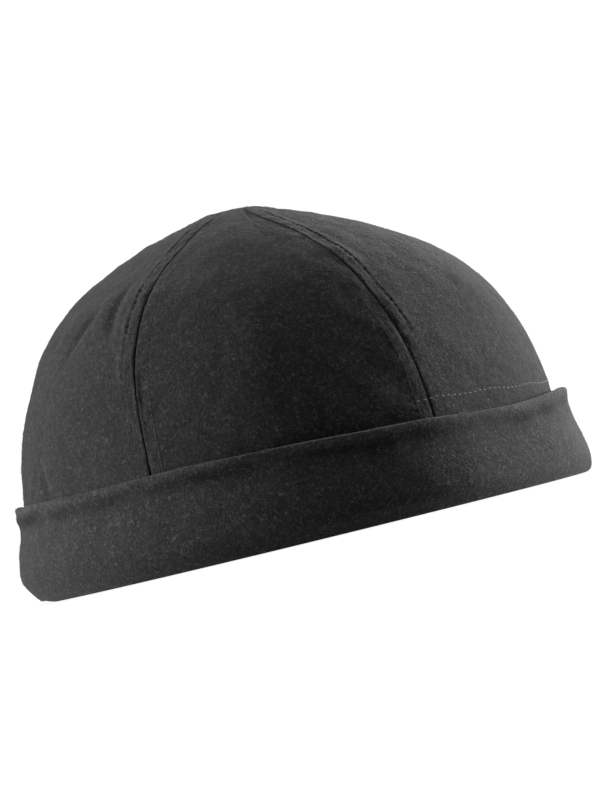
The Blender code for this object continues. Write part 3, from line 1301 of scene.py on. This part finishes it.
def new_material(name: str) -> tuple[Material, Tree, bpy.types.Node]:
    """Make a material.

    Args:
        name: Its name.

    Returns:
        The material, its tree and its shader.
    """
    material = bpy.data.materials.new(name)
    material.use_nodes = True
    return material, material.node_tree, material.node_tree.nodes["Principled BSDF"]


class FeltNodes:
    """Shader node groups that the felts share."""

    @staticmethod
    def _group(name: str, inputs: dict, outputs: tuple) -> tuple:
        """Make a node group with named number sockets.

        Args:
            name: Name of the group.
            inputs: Default value of each input.
            outputs: Name of each output.

        Returns:
            The group, the sockets of its inputs, its output node and the place on the object.
        """
        group = bpy.data.node_groups.new(name, "ShaderNodeTree")
        kind = "NodeSocketFloat"
        for label, value in inputs.items():
            socket = group.interface.new_socket(name=label, in_out="INPUT", socket_type=kind)
            socket.default_value = value
        for label in outputs:
            group.interface.new_socket(name=label, in_out="OUTPUT", socket_type=kind)
        entries = group.nodes.new("NodeGroupInput").outputs
        leave = group.nodes.new("NodeGroupOutput")
        return group, entries, leave, add_node(group, "TexCoord", {}, "Object")

    @classmethod
    def nap(cls) -> Tree:
        """Return the group that makes the felt's matted nap.

        Returns:
            The group.
        """
        inputs = {"Grain": 1700.0, "Cloud": 55.0}
        group, entries, leave, place = cls._group("felt_nap", inputs, ("Mottle", "Height"))
        grain = noise(group, place, entries["Grain"], 2.0, 0.6)
        clump = noise(group, place, 640.0, 2.0, 0.8)
        cloud = noise(group, place, entries["Cloud"], 3.0)
        total = maths(group, "MULTIPLY", grain, 0.50)
        total = maths(group, "MULTIPLY_ADD", clump, 0.32, total)
        total = maths(group, "MULTIPLY_ADD", cloud, 0.18, total)
        mottle = map_range(group, total, (0.44, 0.70))
        height = maths(group, "MULTIPLY_ADD", clump, 0.9, grain)
        fill(group, leave, {"Mottle": mottle, "Height": height})
        return group

    @classmethod
    def fibres(cls) -> Tree:
        """Return the group that makes the short curly fibres matted into the surface.

        Returns:
            The group.
        """
        inputs = {"Scale": 560.0, "Thinness": 0.030, "Amount": 0.5}
        group, entries, leave, place = cls._group("felt_fibres", inputs, ("Mask",))
        most = None
        for shift, size in ((0.0, 1.0), (3.7, 1.35), (7.9, 0.72)):
            away = (shift, shift * 0.6, -shift)
            here = add_node(group, "VectorMath", {0: place, 1: away}, 0, operation="ADD")
            scale = maths(group, "MULTIPLY", entries["Scale"], size)
            lines = noise(group, here, scale, 1.0, 1.3)
            from_middle = maths(group, "ABSOLUTE", maths(group, "SUBTRACT", lines, 0.5))
            line = map_range(group, from_middle, (0.0, entries["Thinness"]), (1.0, 0.0))
            gates = noise(group, here, maths(group, "MULTIPLY", scale, 1.15), 1.0)
            both = maths(group, "MULTIPLY", line, map_range(group, gates, (0.45, 0.66)))
            most = both if most is None else maths(group, "MAXIMUM", most, both)
        fill(group, leave, {"Mask": maths(group, "MULTIPLY", most, entries["Amount"])})
        return group


@dataclass(frozen=True)
class FeltFinish:
    """Dark brushed wool felt."""

    name: str
    dark: Triple
    light: Triple
    fibre: Triple
    fibre_amount: float = 0.53
    sheen: float = 0.10
    sheen_roughness: float = 0.5
    bump: float = 0.66
    bump_depth: float = 0.0005
    fibre_height: float = 0.5
    roughness: Span = (0.86, 1.0)
    gloss: float = 0.15

    def material(self, nap: Tree, fibres: Tree) -> Material:
        """Build the felt's material.

        Args:
            nap: Group that makes the matted nap.
            fibres: Group that makes the curly fibres.

        Returns:
            The material.
        """
        material, tree, shader = new_material(self.name)
        mottle = add_node(tree, "Group", {}, "Mottle", node_tree=nap)
        curls = add_node(tree, "Group", {"Amount": self.fibre_amount}, "Mask", node_tree=fibres)
        wool = mix(tree, mottle, (*self.dark, 1.0), (*self.light, 1.0))
        flecked = mix(tree, curls, wool, (*self.fibre, 1.0))
        # painted shade and highlight, scaled into the felt's colour by each vertex's tone
        painted_light_tone = add_node(tree, "Attribute", {}, "Fac", attribute_name="painted_light_tone")
        matted = mottle.node.outputs["Height"]
        height = maths(tree, "MULTIPLY_ADD", curls, self.fibre_height, matted)
        relief = {"Strength": self.bump, "Distance": self.bump_depth, "Height": height}
        fill(tree, shader, {
            "Base Color": mix(tree, 1.0, flecked, painted_light_tone, "MULTIPLY"),
            "Roughness": map_range(tree, mottle, (0.0, 1.0), self.roughness),
            "Normal": add_node(tree, "Bump", relief, "Normal"),
            "Specular IOR Level": self.gloss,
            "Sheen Weight": self.sheen,
            "Sheen Roughness": self.sheen_roughness,
        })
        return material


@dataclass(frozen=True)
class ThreadFinish:
    """Twisted sewing thread."""

    name: str
    colour: Triple
    roughness: float = 0.6
    twist: float = 2600.0
    sheen: float = 0.2

    def material(self) -> Material:
        """Build the thread's material.

        Returns:
            The material.
        """
        material, tree, shader = new_material(self.name)
        place = add_node(tree, "TexCoord", {}, "Object")
        twist = add_node(tree, "TexNoise", {"Scale": self.twist, "Vector": place}, "Fac")
        dark, light = ((*[value * share for value in self.colour], 1.0) for share in (0.6, 1.3))
        colour = mix(tree, twist, dark, light)
        values = {"Base Color": colour, "Roughness": self.roughness, "Sheen Weight": self.sheen}
        fill(tree, shader, values)
        return material


@dataclass(frozen=True)
class SoftLight:
    """One square soft light aimed at the cap."""

    name: str
    place: Triple
    size: float
    power: float
    aim: Triple = (0.0, 0.0, 0.06)

    def build(self) -> Piece:
        """Add the light to the scene.

        Returns:
            The light's object.
        """
        data = bpy.data.lights.new(self.name, "AREA")
        data.size = self.size
        data.energy = self.power
        light = bpy.data.objects.new(self.name, data)
        light.location = self.place
        way = Vector(self.aim) - Vector(self.place)
        light.rotation_euler = way.to_track_quat("-Z", "Y").to_euler()
        bpy.context.scene.collection.objects.link(light)
        return light


@dataclass(frozen=True)
class Studio:
    """White floor and surround, soft lights, and the camera at the photograph's angle."""

    distance: float = 0.850
    camera_height: float = 0.012
    pan: float = -0.597
    tilt: float = 2.602
    roll: float = 13.67
    focal_pixels: float = 2295.0
    long_side_pixels: float = 800.0
    surround: float = 0.02
    floor_glow: float = 0.23
    floor_tone: float = 0.12
    floor_half: float = 12.0
    floor_drop: float = 0.0002
    # distances between which the floor grows whiter to the camera, and its levels there
    white_reach: Span = (0.11, 0.17)
    white_levels: Span = (0.91, 1.05)
    sensor_width: float = 36.0
    clip: Span = (0.01, 50.0)
    lights: tuple = (
        SoftLight("left_light", (-1.295, -0.113, 0.33), 0.50, 22.6),
        SoftLight("right_light", (1.280, 0.226, 0.13), 0.24, 19.2),
        SoftLight("near_right_light", (0.414, 0.073, 0.05), 0.12, 0.9, (0.06, 0.0, 0.03)),
        SoftLight("rear_light", (0.650, 1.126, 0.75), 0.50, 9.0),
        SoftLight("high_left_light", (-0.300, 0.520, 1.20), 0.50, 3.1),
        SoftLight("high_front_light", (-0.491, -0.344, 1.20), 0.50, 3.1),
        SoftLight("high_right_light", (0.460, 0.386, 1.20), 0.50, 4.6),
    )

    def camera(self, middle_x: float) -> Piece:
        """Add the camera.

        Args:
            middle_x: Place of the crown's middle along the cap.

        Returns:
            The camera's object.
        """
        pan, tilt, roll = (math.radians(value) for value in (self.pan, self.tilt, self.roll))
        level = math.cos(tilt)
        forward = Vector((-math.sin(pan) * level, math.cos(pan) * level, math.sin(tilt)))
        right = forward.cross(Vector((0, 0, 1))).normalized()
        upward = right.cross(forward)
        rolled_right = right * math.cos(roll) - upward * math.sin(roll)
        rolled_up = right * math.sin(roll) + upward * math.cos(roll)
        data = bpy.data.cameras.new("camera")
        data.sensor_width = self.sensor_width
        data.lens = self.focal_pixels * data.sensor_width / self.long_side_pixels
        data.clip_start, data.clip_end = self.clip
        camera = bpy.data.objects.new("camera", data)
        turned = Matrix((rolled_right, rolled_up, -forward)).transposed().to_4x4()
        place = Matrix.Translation((middle_x, -self.distance, self.camera_height))
        camera.matrix_world = place @ turned
        bpy.context.scene.collection.objects.link(camera)
        bpy.context.scene.camera = camera
        return camera

    def floor(self) -> Piece:
        """Add the white floor, which isn't part of the cap.

        Returns:
            The floor's object.
        """
        signs = np.array([[-1, -1, 0], [1, -1, 0], [1, 1, 0], [-1, 1, 0]])
        material, tree, shader = new_material("floor_white")
        place = add_node(tree, "TexCoord", {}, "Object")
        away = add_node(tree, "VectorMath", {0: place}, "Value", operation="LENGTH")
        # whiter with distance, so that no horizon shows, and dim as a light on the cap
        white = map_range(tree, away, self.white_reach, self.white_levels)
        seen = add_node(tree, "LightPath", {}, "Is Camera Ray")
        levels = {"Factor": seen, "A": self.floor_glow, "B": white}
        fill(tree, shader, {
            "Base Color": (*[self.floor_tone] * 3, 1.0),
            "Roughness": 1.0,
            "Specular IOR Level": 0.0,
            "Emission Color": WHITE,
            "Emission Strength": add_node(tree, "Mix", levels, "Result"),
        })
        corners = signs * self.floor_half
        floor = add_mesh("studio_floor", corners, [np.array([[0, 1, 2, 3]])], material)
        floor.location.z = -self.floor_drop
        return floor

    def world(self) -> bpy.types.World:
        """Add the white surround, dimmer as a light than it looks to the camera.

        Returns:
            The world.
        """
        world = bpy.data.worlds.new("studio_surround")
        world.use_nodes = True
        tree = world.node_tree
        seen = add_node(tree, "LightPath", {}, "Is Camera Ray")
        strength = map_range(tree, seen, (0.0, 1.0), (self.surround, self.white_levels[1]))
        fill(tree, tree.nodes["Background"], {"Color": WHITE, "Strength": strength})
        bpy.context.scene.world = world
        return world

    def build(self, middle_x: float) -> None:
        """Add everything of the studio.

        Args:
            middle_x: Place of the crown's middle along the cap.
        """
        self.camera(middle_x)
        self.floor()
        self.world()
        for light in self.lights:
            light.build()
        bpy.context.scene.view_settings.view_transform = "Standard"
        bpy.context.scene.view_settings.look = "None"


CROWN_FELT = FeltFinish(
    "crown_felt",
    dark=(0.0190, 0.0192, 0.0195), light=(0.0385, 0.0388, 0.0394), fibre=(0.19, 0.19, 0.192),
)
CUFF_FELT = FeltFinish(
    "cuff_felt",
    dark=(0.0226, 0.0228, 0.0231), light=(0.0450, 0.0453, 0.0460), fibre=(0.23, 0.23, 0.232),
)
DARK_THREAD = ThreadFinish("dark_thread", (0.010, 0.010, 0.011))
LIGHT_THREAD = ThreadFinish("light_thread", (0.17, 0.17, 0.17))
WOOL_FIBRE = ThreadFinish("wool_fibre", (0.20, 0.20, 0.205), 0.8)


def main() -> None:
    """Build the cap and its studio, and report each piece."""
    logging.basicConfig(level=logging.INFO, format="%(name)s: %(message)s")
    nap, fibres = FeltNodes.nap(), FeltNodes.fibres()
    crown_felt = CROWN_FELT.material(nap, fibres)
    cuff_felt = CUFF_FELT.material(nap, fibres)
    dark_thread, light_thread = DARK_THREAD.material(), LIGHT_THREAD.material()
    wool = WOOL_FIBRE.material()
    crown = Crown()
    cuff = Cuff(form=crown.form)
    pieces = []
    for number in range(crown.form.panels):
        panel = crown.panel(number, crown_felt)
        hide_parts(f"crown_panel_{number + 1}")
        pieces.append(panel)
    band = cuff.build(cuff_felt)
    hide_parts("cuff")
    pieces.append(band)
    stitching = Stitching(crown)
    for number in range(crown.form.panels):
        pieces.append(stitching.seam_rows(number, dark_thread))
    pieces.append(stitching.hem_row(light_thread))
    pieces.append(LooseFibres(7000, 71).scatter("crown_loose_fibres", crown.outer_grids, wool))
    pieces.append(LooseFibres(4000, 72).scatter("cuff_loose_fibres", [cuff.skin], wool))
    for piece in pieces:
        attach(piece, "root")
        LOG.info("%s: %d faces", piece.name, len(piece.data.polygons))
    Studio().build(crown.form.middle_x)


if __name__ == "__main__":
    main()
